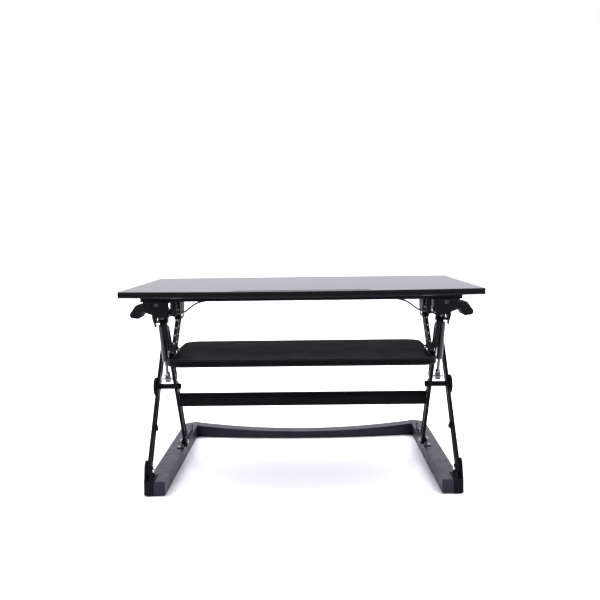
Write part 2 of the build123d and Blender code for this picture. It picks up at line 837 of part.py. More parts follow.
# ---------------------------------------------------------------- tray and its links
def make_hanger_brackets():
    """Folded brackets under the desktop, one a side, each with two pivots."""
    outer = hanger_far + ear_sheet + 1
    inner = hanger_near - ear_sheet - 1
    front, back = hanger_y - 18, hanger_y + hanger_spacing + 18
    with BuildPart() as brackets:
        for _, side in SIDES:
            for near in (inner, hanger_far + 1):
                with BuildSketch(side_plane(side, near, near + ear_sheet)):
                    with BuildLine():
                        Polyline(
                            (hanger_y - 10, hanger_top_z - 8),
                            (front, hanger_top_z + 16),
                            (front, desk_bottom_z),
                            (back, desk_bottom_z),
                            (back, hanger_top_z + 16),
                            (hanger_y + hanger_spacing + 10, hanger_top_z - 8),
                            (hanger_y + hanger_spacing + 5, hanger_top_z - 12),
                            (hanger_y - 5, hanger_top_z - 12),
                            close=True,
                        )
                    make_face()
                    with Locations((hanger_y, hanger_top_z), (hanger_y + hanger_spacing, hanger_top_z)):
                        Circle(hanger_pin_radius + running_fit, mode=Mode.SUBTRACT)
                extrude(amount=ear_sheet)
            with BuildSketch(Plane.XY.offset(desk_bottom_z - ear_sheet)):
                with Locations((side * (inner - 12 + outer) / 2, (front + back) / 2)):
                    Rectangle(outer - inner + 12, back - front)
            extrude(amount=ear_sheet)
            # Front web with its round hole.
            with BuildSketch(Plane.XZ.offset(-(front + ear_sheet))):
                with Locations((side * (inner + outer) / 2, (hanger_top_z + 16 + desk_bottom_z) / 2)):
                    Rectangle(outer - inner, desk_bottom_z - hanger_top_z - 16)
                with Locations((side * (inner + outer) / 2, hanger_top_z + 23)):
                    Circle(3, mode=Mode.SUBTRACT)
            extrude(amount=ear_sheet)
    return brackets


def make_hanger(side, upper_y):
    """Channel-section link with a row of round holes along its web."""
    direction = (-cos(hanger_angle), -sin(hanger_angle))
    plane = link_plane(side, hanger_near, hanger_far, upper_y, hanger_top_z, direction)
    web = hanger_sheet
    half = hanger_width / 2
    width = hanger_far - hanger_near
    count = int((hanger_length - 24) // hanger_hole_pitch) + 1
    first = (hanger_length - (count - 1) * hanger_hole_pitch) / 2
    front_normal = (0, -sin(hanger_angle), cos(hanger_angle))
    with BuildPart() as hanger:
        with BuildSketch(plane):
            with Locations((hanger_length / 2, 0)):
                SlotCenterToCenter(hanger_length, hanger_width)
        extrude(amount=width)
        with BuildSketch(plane.offset(web)):
            with Locations((hanger_length / 2, half)):
                Rectangle(hanger_length + hanger_width + 2, 2 * (hanger_width - web))
        extrude(amount=width - 2 * web, mode=Mode.SUBTRACT)
        for index in range(count):
            distance = first + index * hanger_hole_pitch
            centre = (
                side * (hanger_near + hanger_far) / 2,
                upper_y + distance * direction[0],
                hanger_top_z + distance * direction[1],
            )
            with BuildSketch(Plane(origin=centre, z_dir=front_normal)):
                Circle(hanger_hole)
            extrude(amount=half + 2, mode=Mode.SUBTRACT)
        with BuildSketch(plane):
            with Locations((0, 0), (hanger_length, 0)):
                Circle(hanger_pin_radius + running_fit)
        extrude(amount=width, mode=Mode.SUBTRACT)
    return hanger


def hanger_pins(y, z):
    """Pins through a pair of ears, one at each link's pivot, on both sides."""
    near = hanger_near - 1 - ear_sheet
    far = hanger_far + 1 + ear_sheet
    places = [(side, y + step, z) for _, side in SIDES for step in (0, hanger_spacing)]
    sections = ((near - 2, near, 5.5), (near, far, hanger_pin_radius), (far, far + 1.5, 5))
    return turned_pins(places, sections)


def make_tray_brackets():
    """Folded brackets on the tray, one a side, each with two pivots."""
    outer = hanger_far + ear_sheet + 1
    inner = hanger_near - ear_sheet - 1
    front, back = tray_pivot_y - 16, tray_pivot_y + hanger_spacing + 16
    with BuildPart() as brackets:
        for _, side in SIDES:
            for near in (inner, hanger_far + 1):
                with BuildSketch(side_plane(side, near, near + ear_sheet)):
                    with BuildLine():
                        Polyline(
                            (front, tray_top_z),
                            (front, tray_top_z + 5),
                            (tray_pivot_y - 6, tray_pivot_z + 8),
                            (tray_pivot_y + hanger_spacing + 6, tray_pivot_z + 8),
                            (back, tray_top_z + 5),
                            (back, tray_top_z),
                            close=True,
                        )
                    make_face()
                    with Locations(
                        (tray_pivot_y, tray_pivot_z),
                        (tray_pivot_y + hanger_spacing, tray_pivot_z),
                    ):
                        Circle(hanger_pin_radius + running_fit, mode=Mode.SUBTRACT)
                extrude(amount=ear_sheet)
            with BuildSketch(Plane.XY.offset(tray_top_z)):
                with Locations((side * (inner + outer) / 2, (front + back) / 2)):
                    Rectangle(outer - inner, back - front)
            extrude(amount=2.5)
    return brackets


def make_tray():
    """Keyboard tray with large round corners and a soft lower edge."""
    with BuildPart() as tray:
        with BuildSketch(Plane.XY.offset(tray_top_z - tray_thickness)):
            with Locations((0, front_y + tray_depth / 2)):
                RectangleRounded(tray_width, tray_depth, tray_corner)
        extrude(amount=tray_thickness)
        chamfer(tray.faces().sort_by(Axis.Z)[0].edges(), 1.8)
        chamfer(tray.faces().sort_by(Axis.Z)[-1].edges(), 0.6)
    return tray


# ---------------------------------------------------------------- cable, clips and screws
cable_y = desk_front_y + 3
cable_half = [
    (bracket_near + 4, frame_z - 36),
    (clip_x, frame_z - 30.5),
    (284.0, frame_z - 27),
    (257.0, frame_z - 4.5),
    (225.0, frame_z + 3.5),
]
cable_middle = [(110.0, frame_z + 3.2), (0.0, frame_z + 3.6)]


def cable_points():
    """Route of the release cable from the left bracket to the right one."""
    half = cable_half + cable_middle[:1]
    left = [(-x, cable_y, z) for x, z in half]
    right = [(x, cable_y, z) for x, z in reversed(half)]
    middle = [(0.0, cable_y, cable_middle[1][1])]
    return left + middle + right


def cable_radii(points):
    """Arc radius at each corner: as large as the shorter run beside it allows."""
    radii = []
    for before, here, after in zip(points, points[1:], points[2:]):
        into = Vector(*here) - Vector(*before)
        out = Vector(*after) - Vector(*here)
        turn = radians(into.get_angle(out))
        radii.append(0.45 * min(into.length, out.length) / tan(turn / 2))
    return radii


def make_release_cable():
    """Sheathed cable that links the two handle brackets under the front rail."""
    points = cable_points()
    radii = cable_radii(points)
    with BuildPart() as cable:
        with BuildLine():
            path = FilletPolyline(*points, radius=radii)
        with BuildSketch(Plane(origin=path @ 0, z_dir=path % 0)):
            Circle(cable_radius)
        sweep(path=path)
    return cable


def make_cable_clips():
    """Ribbed clips that hang from the front rail and hold the cable."""
    with BuildPart() as clips:
        for _, side in SIDES:
            with BuildSketch(Plane.XZ.offset(-(cable_y + 5))):
                with Locations((side * clip_x, frame_z - clip_drop / 2)):
                    Rectangle(clip_width, clip_drop)
            extrude(amount=10)
            this_side = clips.edges().filter_by(Axis.Y).filter_by(lambda e: side * e.center().X > 0)
            fillet(this_side.group_by(Axis.Z)[0], 2)
            for rib in range(4):
                with BuildSketch(Plane.XZ.offset(-(cable_y - 5))):
                    with Locations((side * clip_x, frame_z - 25 + 5.5 * rib)):
                        Rectangle(clip_width, 2)
                extrude(amount=1.2)
            with BuildSketch(side_plane(side, clip_x - 7, clip_x + 7)):
                with Locations((cable_y, frame_z - 32)):
                    Rectangle(5, 12)
            extrude(amount=14, mode=Mode.SUBTRACT)
        # Ferrules that anchor the cable's ends on the backs of the front walls.
        wall = desk_front_y - wall_setback + bracket_sheet
        for _, side in SIDES:
            with BuildSketch(Plane.XZ.offset(-(cable_y + 2.5))):
                with Locations((side * (bracket_near + 9.5), frame_z - 36)):
                    Rectangle(11, 8)
            extrude(amount=cable_y + 2.5 - wall)
    return clips


def frame_screw_places():
    """Screws through the frame's webs into the panel: (x, y)."""
    across = [(side * x, y) for _, side in SIDES for x in (60, 230) for y in (front_rail_y, rear_rail_y)]
    middle_x = (frame_far + side_rail_near) / 2
    along = [(side * middle_x, y) for _, side in SIDES for y in (-60.0, 110.0)]
    return across + along


def make_frame_screws():
    """Pan-head screws inside the frame's channels, their shanks in the panel."""
    web_z = desk_bottom_z - frame_sheet
    with BuildPart() as screws:
        with BuildSketch(Plane.XY.offset(web_z - 2.4)):
            with Locations(*frame_screw_places()):
                Circle(4.2)
        extrude(amount=2.4)
        with BuildSketch(Plane.XY.offset(web_z)):
            with Locations(*frame_screw_places()):
                Circle(2)
        extrude(amount=frame_sheet + 10)
    return screws


def drill_for_screws(part, low_z, high_z):
    """Clearance holes for the frame screws through a finished part."""
    with BuildPart() as drilled:
        add(part)
        with BuildSketch(Plane.XY.offset(low_z)):
            with Locations(*frame_screw_places()):
                Circle(2 + running_fit)
        extrude(amount=high_z - low_z, mode=Mode.SUBTRACT)
    return drilled


# ---------------------------------------------------------------- build and write every piece
for label, side in SIDES:
    save(make_rail(side), f"rail_{label}")
    save(make_foot_block(side), f"foot_block_{label}")
    save(make_slide_guide(side), f"slide_guide_{label}")
    save(make_outer_link(side), f"outer_link_{label}")
    save(make_inner_link(side), f"inner_link_{label}")
    save(make_pivot_disc(side), f"pivot_disc_{label}")
    save(make_link_collar(side), f"link_collar_{label}")
    save(make_spring_cylinder(side), f"spring_cylinder_{label}")
    save(make_spring_rod(side), f"spring_rod_{label}")
    save(make_handle_bracket(side), f"handle_bracket_{label}")
    save(make_paddle(side), f"paddle_{label}")
    save(make_slide_track(side), f"slide_track_{label}")
    top_block = make_slide_block(
        side, track_near, track_far, slide_y, top_pivot_z, track_far + 0.4, outer_link_near - face_gap
    )
    save(top_block, f"top_slide_block_{label}")
    top_pin = turned_pins(
        [(side, slide_y, top_pivot_z)],
        (
            (track_near - 4, track_near - 0.7, 6),
            (track_near - 0.7, outer_link_far, 3),
            (outer_link_far, outer_link_far + 2.5, 5.5),
        ),
    )
    save(top_pin, f"top_slide_pin_{label}")
    save(make_hanger(side, hanger_y), f"front_hanger_{label}")
    save(make_hanger(side, hanger_y + hanger_spacing), f"rear_hanger_{label}")
    side_rail = channel_rail(
        side_rail_width,
        side_rail_length,
        side * (side_rail_near + frame_far) / 2,
        (side_rail_front_y + side_rail_back_y) / 2,
    )
    save(drill_for_screws(side_rail.part, frame_z, desk_bottom_z), f"side_rail_{label}")

save(make_rear_member(), "rear_member")
save(make_feet(), "rubber_feet")
save(make_guide_screws(), "guide_screws")
save(make_crossbar(), "crossbar")
save(make_spring_forks(), "spring_forks")

both = [side for _, side in SIDES]
foot_pins = turned_pins(
    [(side, pivot_y, base_pivot_z) for side in both],
    (
        (block_near + 2, outer_link_near - face_gap - 4, 6),
        (outer_link_near - face_gap - 4, rail_far, 4),
        (rail_far, rail_far + 2, 6.5),
    ),
)
save(foot_pins, "foot_pins")
slide_pins = turned_pins(
    [(side, slide_y, base_pivot_z) for side in both],
    (
        (inner_link_near - 2.5, inner_link_near, 5.5),
        (inner_link_near, guide_far + 0.7, 3),
        (guide_far + 0.7, guide_far + 4, 6),
    ),
)
save(slide_pins, "base_slide_pins")
with BuildPart() as base_blocks:
    for side in both:
        add(
            make_slide_block(
                side,
                guide_near,
                guide_far,
                slide_y,
                base_pivot_z,
                inner_link_far + face_gap,
                guide_near - 0.4,
            ).part
        )
save(base_blocks, "base_slide_blocks")
pivot_bolts = turned_pins(
    [(side, middle_y, middle_z) for side in both],
    (
        (inner_link_near - 8.5, inner_link_near, 8),
        (inner_link_near, disc_far + face_gap, pivot_shank),
        (disc_far + face_gap, disc_far + face_gap + 2, 9),
    ),
)
save(pivot_bolts, "middle_pivot_bolts")
with BuildPart() as sleeves:
    for side in both:
        with BuildSketch(side_plane(side, inner_link_far, outer_link_near - face_gap)):
            with Locations((middle_y, middle_z)):
                Circle(sleeve_radius)
                Circle(pivot_shank + running_fit, mode=Mode.SUBTRACT)
        extrude(amount=outer_link_near - face_gap - inner_link_far)
save(sleeves, "pivot_sleeves")
spring_pins = turned_pins(
    [(side, spring_pin_y, spring_pin_z) for side in both],
    ((inner_link_near - 1.5, inner_link_near, 6), (inner_link_near, 366, 4), (366, 368, 6)),
)
save(spring_pins, "spring_pins")
top_bolts = turned_pins(
    [(side, pivot_y, top_pivot_z) for side in both],
    (
        (inner_link_near - 3, inner_link_near - 0.2, 8),
        (inner_link_near - 0.2, plate_far + bracket_sheet, pivot_shank),
        (plate_far + bracket_sheet, plate_far + bracket_sheet + 4.5, 8),
    ),
)
save(top_bolts, "front_pivot_bolts")

panel = make_desktop()
save(drill_for_screws(panel.part, desk_bottom_z, desk_bottom_z + 10.2), "desktop_panel")
save(make_slot_liner(), "tablet_slot_liner")
front_rail = channel_rail(2 * frame_far, front_rail_depth, 0, front_rail_y)
save(drill_for_screws(front_rail.part, frame_z, desk_bottom_z), "front_rail")
rear_rail = channel_rail(2 * frame_far, front_rail_depth, 0, rear_rail_y)
save(drill_for_screws(rear_rail.part, frame_z, desk_bottom_z), "rear_rail")
save(make_frame_screws(), "frame_screws")
save(make_paddle_pins(), "paddle_pins")
save(make_paddle_springs(), "paddle_springs")
save(make_hanger_brackets(), "hanger_brackets")
save(hanger_pins(hanger_y, hanger_top_z), "hanger_top_pins")
save(make_release_cable(), "release_cable")
save(make_cable_clips(), "cable_clips")

save(make_tray(), "keyboard_tray")
save(make_tray_brackets(), "tray_brackets")
save(hanger_pins(tray_pivot_y, tray_pivot_z), "hanger_tray_pins")
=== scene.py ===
"""Looks for the standing desk converter: finishes, detailed small parts, studio and camera.

Metres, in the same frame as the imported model. Every place is worked out from the model's boxes.
"""
import json
from math import cos, radians, sin, tau

import bmesh
import bpy
from mathutils import Matrix, Vector


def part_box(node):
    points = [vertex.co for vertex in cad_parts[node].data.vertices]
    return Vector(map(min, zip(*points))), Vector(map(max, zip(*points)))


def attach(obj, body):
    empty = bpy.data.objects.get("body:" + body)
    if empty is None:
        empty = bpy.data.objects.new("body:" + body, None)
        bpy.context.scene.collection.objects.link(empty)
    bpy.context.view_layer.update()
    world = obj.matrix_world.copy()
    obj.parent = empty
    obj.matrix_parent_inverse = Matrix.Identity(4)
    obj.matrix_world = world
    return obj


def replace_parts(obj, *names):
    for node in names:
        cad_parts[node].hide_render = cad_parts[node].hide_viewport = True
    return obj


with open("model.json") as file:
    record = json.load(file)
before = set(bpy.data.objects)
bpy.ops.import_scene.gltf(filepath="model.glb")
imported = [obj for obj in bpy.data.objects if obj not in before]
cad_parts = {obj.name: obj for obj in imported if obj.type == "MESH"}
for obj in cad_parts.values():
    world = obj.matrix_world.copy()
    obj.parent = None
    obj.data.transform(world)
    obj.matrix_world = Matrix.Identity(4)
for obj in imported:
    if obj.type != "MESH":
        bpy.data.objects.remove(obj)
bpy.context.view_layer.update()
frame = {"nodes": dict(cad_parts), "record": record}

MM = 0.001
SIDES = (("left", -1), ("right", 1))


# ---------------------------------------------------------------- node helpers
class Tree:
    """A material's node tree, with short calls for the nodes used here."""

    def __init__(self, name):
        self.material = bpy.data.materials.new(name)
        self.material.use_nodes = True
        self.nodes = self.material.node_tree.nodes
        self.links = self.material.node_tree.links
        self.shader = self.nodes["Principled BSDF"]
        self.place = self.nodes.new("ShaderNodeTexCoord").outputs["Object"]

    def link(self, source, target):
        self.links.new(source, target)

    def stretched(self, x, y, z):
        """Object coordinates scaled by axis, so that a pattern runs along one of them."""
        mapping = self.nodes.new("ShaderNodeMapping")
        mapping.inputs["Scale"].default_value = (x, y, z)
        self.link(self.place, mapping.inputs["Vector"])
        return mapping.outputs["Vector"]

    def noise(self, scale, detail=3.0, roughness=0.5, vector=None):
        node = self.nodes.new("ShaderNodeTexNoise")
        node.inputs["Scale"].default_value = scale
        node.inputs["Detail"].default_value = detail
        node.inputs["Roughness"].default_value = roughness
        self.link(vector or self.place, node.inputs["Vector"])
        return node.outputs["Fac"]

    def cells(self, scale, vector=None):
        node = self.nodes.new("ShaderNodeTexVoronoi")
        node.inputs["Scale"].default_value = scale
        self.link(vector or self.place, node.inputs["Vector"])
        return node.outputs["Distance"]

    def span(self, value, low, high, to_low, to_high):
        """Maps a range of a value on to another range, clamped."""
        node = self.nodes.new("ShaderNodeMapRange")
        ends = {"From Min": low, "From Max": high, "To Min": to_low, "To Max": to_high}
        for socket, number in ends.items():
            node.inputs[socket].default_value = number
        self.link(value, node.inputs["Value"])
        return node.outputs["Result"]

    def math(self, operation, first, second):
        node = self.nodes.new("ShaderNodeMath")
        node.operation = operation
        for socket, value in zip(node.inputs, (first, second)):
            if isinstance(value, (int, float)):
                socket.default_value = value
            else:
                self.link(value, socket)
        return node.outputs["Value"]

    def away(self, value, middle):
        """How far a value is from a middle one."""
        return self.math("ABSOLUTE", self.math("SUBTRACT", value, middle), 0)

    def parts(self, vector):
        """The X, Y and Z of a vector."""
        node = self.nodes.new("ShaderNodeSeparateXYZ")
        self.link(vector, node.inputs["Vector"])
        return node.outputs

    def clouded(self, scale, dark, light, low=0.35, high=0.65, detail=4):
        """A colour that drifts between two tones."""
        return self.blend(self.span(self.noise(scale, detail), low, high, 0, 1), dark, light)

    def blend(self, factor, first, second):
        """Mixes two colours, or a colour and an earlier mix."""
        node = self.nodes.new("ShaderNodeMix")
        node.data_type = "RGBA"
        colours = [socket for socket in node.inputs if socket.name in "AB" and socket.type == "RGBA"]
        for socket, value in zip(colours, (first, second)):
            if isinstance(value, tuple):
                socket.default_value = (*value, 1)
            else:
                self.link(value, socket)
        self.link(factor, node.inputs["Factor"])
        return next(socket for socket in node.outputs if socket.type == "RGBA")

    def edges(self, radius):
        """Mask that rises where two faces meet, broken up by noise."""
        bevel = self.nodes.new("ShaderNodeBevel")
        bevel.samples = 4
        bevel.inputs["Radius"].default_value = radius
        geometry = self.nodes.new("ShaderNodeNewGeometry")
        dot = self.nodes.new("ShaderNodeVectorMath")
        dot.operation = "DOT_PRODUCT"
        self.link(bevel.outputs["Normal"], dot.inputs[0])
        self.link(geometry.outputs["Normal"], dot.inputs[1])
        sharp = self.span(dot.outputs["Value"], 0.98, 0.75, 0, 1)
        patchy = self.span(self.noise(90, 4), 0.45, 0.62, 0.15, 1)
        return self.math("MULTIPLY", sharp, patchy)

    def bumps(self, *layers):
        """Bump from (height, strength, distance) layers on rounded edges, fed to the shader."""
        bevel = self.nodes.new("ShaderNodeBevel")
        bevel.samples = 4
        bevel.inputs["Radius"].default_value = 0.5 * MM
        normal = bevel.outputs["Normal"]
        for height, strength, distance in layers:
            bump = self.nodes.new("ShaderNodeBump")
            bump.inputs["Strength"].default_value = strength
            bump.inputs["Distance"].default_value = distance
            self.link(height, bump.inputs["Height"])
            self.link(normal, bump.inputs["Normal"])
            normal = bump.outputs["Normal"]
        self.link(normal, self.shader.inputs["Normal"])

    def set(self, **values):
        """Whole-surface values, set on the shader's own sockets."""
        for name, value in values.items():
            self.shader.inputs[name.replace("_", " ")].default_value = value

    def feed(self, **values):
        for name, value in values.items():
            self.link(value, self.shader.inputs[name.replace("_", " ")])


# ---------------------------------------------------------------- finishes
def powder_coat(name, dark, light, worn, rough, shine):
    """Fine-textured powder coat: orange peel, a sparse grit, and rubbed edges."""
    tree = Tree(name)
    tree.set(Specular_IOR_Level=shine)
    peel = tree.noise(420, 2)
    grit = tree.cells(1500)
    colour = tree.clouded(9, dark, light, detail=3)
    edges = tree.edges(0.9 * MM)
    tree.feed(Base_Color=tree.blend(edges, colour, worn))
    smear = tree.span(tree.noise(30, 4), 0.35, 0.7, rough - 0.05, rough + 0.07)
    tree.feed(Roughness=tree.math("SUBTRACT", smear, tree.math("MULTIPLY", edges, 0.12)))
    tree.bumps((peel, 0.25, 0.25 * MM), (grit, 0.12, 0.1 * MM))
    return tree.material


BAND_COLOUR = (0.002, 0.002, 0.0023)
# Colour of the edge band's two seam lines: a painted highlight, lighter than the band, where the edge
# catches light.
SEAM_PAINTED_HIGHLIGHT_COLOUR = (0.02, 0.02, 0.021)
RUBBED_LAMINATE = (0.09, 0.09, 0.095)
SEAM_INSET = 2.6 * MM
LIP_WIDTH = 3.5 * MM


def laminate(name, dark, light, rough, coat, shine, low, high, slot=None):
    """Laminate over board: pebble on the faces, a smooth edge band with two grooved seam lines, coloured
    lighter than the band as a painted highlight.

    low and high are the panel's corners. slot is the box of a slot whose lip is dull.
    """
    tree = Tree(name)
    tree.set(Specular_IOR_Level=shine, Coat_Roughness=0.1, Coat_IOR=1.5)
    colour = tree.clouded(6, dark, light, 0.3, 0.7)
    facing = tree.parts(tree.nodes.new("ShaderNodeNewGeometry").outputs["Normal"])
    place = tree.parts(tree.place)
    band = tree.span(tree.math("ABSOLUTE", facing["Z"], 0), 0.3, 0.5, 1, 0)
    half = (high.z - low.z) / 2
    off_line = tree.away(tree.away(place["Z"], high.z - half), half - SEAM_INSET)
    # Seam lines on the edge band: the groove is bumped below, and its lighter colour is a painted
    # highlight.
    seam_groove_and_highlight = tree.math("MULTIPLY", tree.span(off_line, 0.15 * MM, 0.4 * MM, 1, 0), band)
    lined = tree.blend(seam_groove_and_highlight, tree.blend(band, colour, BAND_COLOUR), SEAM_PAINTED_HIGHLIGHT_COLOUR)
    tree.feed(Base_Color=tree.blend(tree.edges(0.6 * MM), lined, RUBBED_LAMINATE))
    tree.feed(Roughness=tree.span(tree.noise(14, 5), 0.4, 0.7, rough - 0.02, rough + 0.05))
    face = tree.math("SUBTRACT", 1.0, band)
    if slot:
        masks = []
        for axis, start, end in zip("XY", slot[0], slot[1]):
            reach = (end - start) / 2 + LIP_WIDTH
            masks.append(tree.span(tree.away(place[axis], (start + end) / 2), reach, reach + MM, 1, 0))
        face = tree.math("SUBTRACT", face, tree.math("MULTIPLY", *masks))
    tree.feed(Coat_Weight=tree.math("MULTIPLY", face, coat))
    pebble = tree.math("MULTIPLY", tree.cells(1100), face)
    tree.bumps((pebble, 0.04, 0.05 * MM), (tree.math("SUBTRACT", 0.0, seam_groove_and_highlight), 0.5, 0.1 * MM))
    return tree.material


def metal(name, dark, light, rough, grain, stretch):
    """Plated or turned steel: fine lines, which a stretch draws out along one axis, and stains."""
    tree = Tree(name)
    tree.set(Metallic=1.0)
    lines = tree.noise(grain, 2, 0.6, tree.stretched(*stretch))
    tree.feed(Base_Color=tree.clouded(60, dark, light))
    tree.feed(Roughness=tree.span(lines, 0.3, 0.7, rough - 0.06, rough + 0.08))
    tree.bumps((lines, 0.12, 0.05 * MM))
    return tree.material


def moulded(name, dark, light, rough, pebble_scale, depth):
    """Moulded plastic or rubber: spark-eroded grain with soft, slightly polished edges."""
    tree = Tree(name)
    tree.set(Specular_IOR_Level=0.035)
    pebble = tree.cells(pebble_scale)
    cloud = tree.noise(40, 4)
    colour = tree.blend(tree.span(cloud, 0.35, 0.65, 0, 1), dark, light)
    edges = tree.edges(0.8 * MM)
    tree.feed(Base_Color=tree.blend(edges, colour, tuple(c * 2.2 for c in light)))
    handled = tree.span(cloud, 0.3, 0.7, rough - 0.04, rough + 0.05)
    tree.feed(Roughness=tree.math("SUBTRACT", handled, tree.math("MULTIPLY", edges, 0.15)))
    tree.bumps((pebble, 0.3, depth), (tree.noise(pebble_scale * 2.5, 1), 0.1, depth / 2))
    return tree.material


def sheath(name):
    """Cable sheath: fine wound rings under a soft black skin."""
    tree = Tree(name)
    rings = tree.noise(2400, 1, 0.4, tree.stretched(1, 0.05, 1))
    tree.feed(Base_Color=tree.clouded(50, (0.010, 0.010, 0.011), (0.018, 0.018, 0.019), detail=3))
    tree.feed(Roughness=tree.span(rings, 0.3, 0.7, 0.34, 0.5))
    tree.bumps((rings, 0.35, 0.12 * MM))
    return tree.material


# A finish for each material slot of the record: dark tone, light tone, then each maker's own values.
FINISHES = {
    "black_powder_coat": powder_coat(
        "black_powder_coat_look", (0.0035, 0.0035, 0.004), (0.006, 0.006, 0.0072),
        worn=(0.03, 0.03, 0.034), rough=0.52, shine=0.04),
    "base_powder_coat": powder_coat(
        "base_powder_coat_look", (0.011, 0.0095, 0.0185), (0.016, 0.014, 0.026),
        worn=(0.05, 0.05, 0.06), rough=0.44, shine=0.17),
    "laminate": laminate(
        "laminate_look", (0.012, 0.0115, 0.0135), (0.017, 0.0165, 0.019), 0.3, 1.0, 0.07,
        *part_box("desktop_panel"), slot=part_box("tablet_slot_liner")),
    "bright_steel": metal(
        "bright_steel_look", (0.55, 0.56, 0.58), (0.72, 0.72, 0.73), 0.2, 1800, (1, 0.08, 1)),
    "zinc_steel": metal(
        "zinc_steel_look", (0.30, 0.31, 0.32), (0.48, 0.49, 0.50), 0.34, 900, (1, 1, 1)),
    "black_plastic": moulded(
        "black_plastic_look", (0.004, 0.004, 0.0048), (0.008, 0.008, 0.009), 0.55, 1400, 0.15 * MM),
    "nylon": moulded(
        "nylon_look", (0.018, 0.018, 0.019), (0.028, 0.028, 0.029), 0.5, 2200, 0.05 * MM),
    "rubber": moulded(
        "rubber_look", (0.012, 0.012, 0.012), (0.022, 0.022, 0.021), 0.75, 1000, 0.2 * MM),
    "spring_paint": powder_coat(
        "spring_paint_look", (0.005, 0.005, 0.006), (0.009, 0.009, 0.010),
        worn=(0.05, 0.05, 0.05), rough=0.22, shine=0.25),
}
DARK_STEEL = metal("dark_steel_look", (0.10, 0.10, 0.105), (0.17, 0.17, 0.175), 0.3, 1500, (1, 0.1, 1))

# Nodes whose finish differs from the rest of their slot.
OWN_LOOKS = {
    # Keyboard tray: a darker copy of the desktop's laminate, painted shade for the shadow the tray sits
    # in.
    "keyboard_tray": laminate(
        "tray_laminate_painted_shade_look", (0.0035, 0.0035, 0.004), (0.006, 0.006, 0.007), 0.55, 0.0, 0.03,
        *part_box("keyboard_tray")),
    "spring_rod_left": DARK_STEEL,
    "spring_rod_right": DARK_STEEL,
    "spring_forks": DARK_STEEL,
    "release_cable": sheath("cable_sheath_look"),
    "paddle_pins": FINISHES["black_powder_coat"],
}
for entry in frame["record"]["subparts"]:
    mesh = frame["nodes"][entry["node"]].data
    mesh.materials.clear()
    mesh.materials.append(OWN_LOOKS.get(entry["node"], FINISHES[entry["material_slot"]]))


# ---------------------------------------------------------------- detailed small parts
KNURL_DEPTH = 0.035
KNURL_RIDGES = 24
SMOOTH_ANGLE = radians(32)


def radius_at(shape, radius, angle):
    """Radius of a ring at an angle. A hexagon's radius is to its flats."""
    if shape == "hex":
        return radius / cos((angle % (tau / 6)) - tau / 12)
    if shape == "knurl":
        return radius * (1 - KNURL_DEPTH * (0.5 + 0.5 * cos(KNURL_RIDGES * angle)))
    return radius


def add_turned(mesh, origin, axis, rings, steps=96):
    """Adds a turned solid to a mesh: rings are (distance along the axis, radius, shape)."""
    axis = Vector(axis).normalized()
    across = axis.orthogonal().normalized()
    up = axis.cross(across)
    loops = []
    for distance, radius, shape in rings:
        loop = []
        for step in range(steps):
            angle = tau * step / steps
            reach = radius_at(shape, radius, angle)
            spoke = across * (reach * cos(angle)) + up * (reach * sin(angle))
            loop.append(mesh.verts.new(Vector(origin) + axis * distance + spoke))
        loops.append(loop)
    for lower, upper in zip(loops, loops[1:]):
        for step in range(steps):
            following = (step + 1) % steps
            mesh.faces.new((lower[step], lower[following], upper[following], upper[step]))
    mesh.faces.new(tuple(reversed(loops[0])))
    mesh.faces.new(tuple(loops[-1]))


def finish_piece(name, mesh, slot, body, look=None):
    """Turns a bmesh into a smooth-shaded object that rides on a body."""
    bmesh.ops.recalc_face_normals(mesh, faces=mesh.faces)
    data = bpy.data.meshes.new(name)
    mesh.to_mesh(data)
    mesh.free()
    data.materials.append(look or FINISHES[slot])
    piece = bpy.data.objects.new(name, data)
    bpy.context.scene.collection.objects.link(piece)
    for polygon in data.polygons:
        polygon.use_smooth = True
    data.set_sharp_from_angle(angle=SMOOTH_ANGLE)
    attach(piece, body)
    return piece


def shank(start, end, radius, shape="round"):
    """Rings of a straight run between two distances."""
    return [(start, radius, shape), (end, radius, shape)]


def head(start, end, radius, socket=0.0, shape="round"):
    """Rings of a bolt head with a rounded rim, and a hex socket if it has one."""
    sign = 1 if end > start else -1
    rim = min(0.7 * MM, abs(end - start) / 2)
    rings = [
        (start, radius - rim / 2, "round"),
        (start + sign * rim / 2, radius, shape),
        (end - sign * rim, radius, shape),
        (end - sign * 0.3 * rim, radius - 0.3 * rim, "round"),
        (end, radius - rim, "round"),
    ]
    if socket:
        depth = min(1.6 * MM, 0.7 * abs(end - start))
        rings += [(end, socket, "hex"), (end - sign * depth, socket * 0.96, "hex")]
    return rings


def in_mm(*rings):
    """Round rings from (distance, radius) pairs in millimetres."""
    return [(distance * MM, radius * MM, "round") for distance, radius in rings]


def make_bolts(name, node, slot, body, rings):
    """One bolt a side on the axis of a CAD node, in its place; distances are from the middle."""
    low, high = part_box(node)
    mesh = bmesh.new()
    for _, side in SIDES:
        add_turned(mesh, (0, (low.y + high.y) / 2, (low.z + high.z) / 2), (side, 0, 0), rings)
    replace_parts(finish_piece(name, mesh, slot, body), node)


PIVOT_RADIUS = 5 * MM
PIN_RADIUS = 4 * MM
GROOVE_RADIUS = 3.2 * MM
NUT_FLATS = 6.8 * MM
inner_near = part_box("inner_link_right")[0].x
cap_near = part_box("pivot_disc_right")[1].x + 0.3 * MM
cap_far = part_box("middle_pivot_bolts")[1].x
nut_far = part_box("front_pivot_bolts")[1].x
nut_near = nut_far - 4.5 * MM
cheek_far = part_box("foot_block_right")[1].x
cheek_near = cheek_far - 17.4 * MM
foot_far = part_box("foot_pins")[1].x
fork_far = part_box("spring_forks")[1].x
lower_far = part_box("spring_pins")[1].x
lower_near = lower_far - 2 * MM

